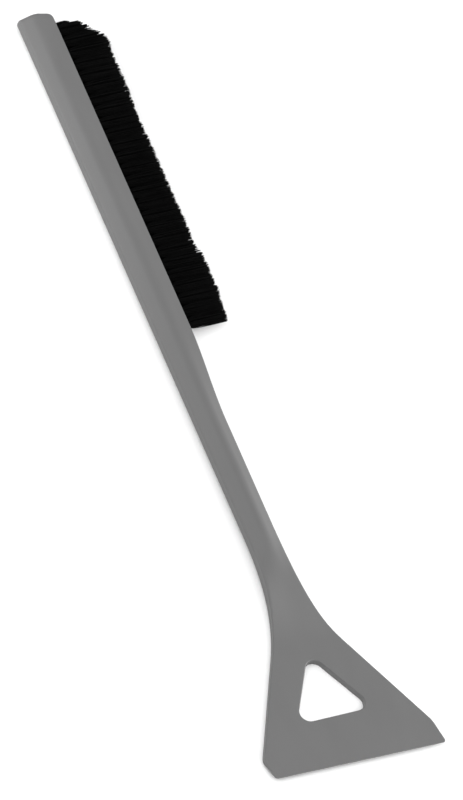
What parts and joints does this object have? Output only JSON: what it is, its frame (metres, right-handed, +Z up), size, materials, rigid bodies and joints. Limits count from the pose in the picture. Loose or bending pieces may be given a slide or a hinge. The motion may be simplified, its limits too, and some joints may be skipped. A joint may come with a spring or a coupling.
{
  "type": "windshield ice scraper",
  "caption": "One-piece moulded ice scraper with a flared blade head, a triangular hanging hole, a slim ridged handle and a side snow brush of black bristle tufts.",
  "frame": {"origin": "on the surface that the tool lies on, under the middle of its bounding box", "axes": "+X along the handle from the brush toe to the cutting edge, +Y the way the bristles point, +Z up from the flat underside"},
  "size_m": [0.508, 0.1097, 0.0141],
  "materials": {
    "grey_plastic": "plain mid grey moulded plastic with a fine satin texture",
    "bristle": "black nylon filaments",
    "anchor_wire": "flat zinc-coated wire"
  },
  "bodies": {
    "root": {"body": "grey_plastic", "tuft_anchors": "anchor_wire", "lower_tuft_01": "bristle", "lower_tuft_02": "bristle", "lower_tuft_03": "bristle", "lower_tuft_04": "bristle", "lower_tuft_05": "bristle", "lower_tuft_06": "bristle", "lower_tuft_07": "bristle", "lower_tuft_08": "bristle", "lower_tuft_09": "bristle", "lower_tuft_10": "bristle", "lower_tuft_11": "bristle", "lower_tuft_12": "bristle", "lower_tuft_13": "bristle", "lower_tuft_14": "bristle", "lower_tuft_15": "bristle", "lower_tuft_16": "bristle", "lower_tuft_17": "bristle", "lower_tuft_18": "bristle", "lower_tuft_19": "bristle", "lower_tuft_20": "bristle", "lower_tuft_21": "bristle", "lower_tuft_22": "bristle", "lower_tuft_23": "bristle", "lower_tuft_24": "bristle", "lower_tuft_25": "bristle", "lower_tuft_26": "bristle", "upper_tuft_01": "bristle", "upper_tuft_02": "bristle", "upper_tuft_03": "bristle", "upper_tuft_04": "bristle", "upper_tuft_05": "bristle", "upper_tuft_06": "bristle", "upper_tuft_07": "bristle", "upper_tuft_08": "bristle", "upper_tuft_09": "bristle", "upper_tuft_10": "bristle", "upper_tuft_11": "bristle", "upper_tuft_12": "bristle", "upper_tuft_13": "bristle", "upper_tuft_14": "bristle", "upper_tuft_15": "bristle", "upper_tuft_16": "bristle", "upper_tuft_17": "bristle", "upper_tuft_18": "bristle", "upper_tuft_19": "bristle", "upper_tuft_20": "bristle", "upper_tuft_21": "bristle", "upper_tuft_22": "bristle", "upper_tuft_23": "bristle", "upper_tuft_24": "bristle", "upper_tuft_25": "bristle", "upper_tuft_26": "bristle"}
  },
  "joints": []
}
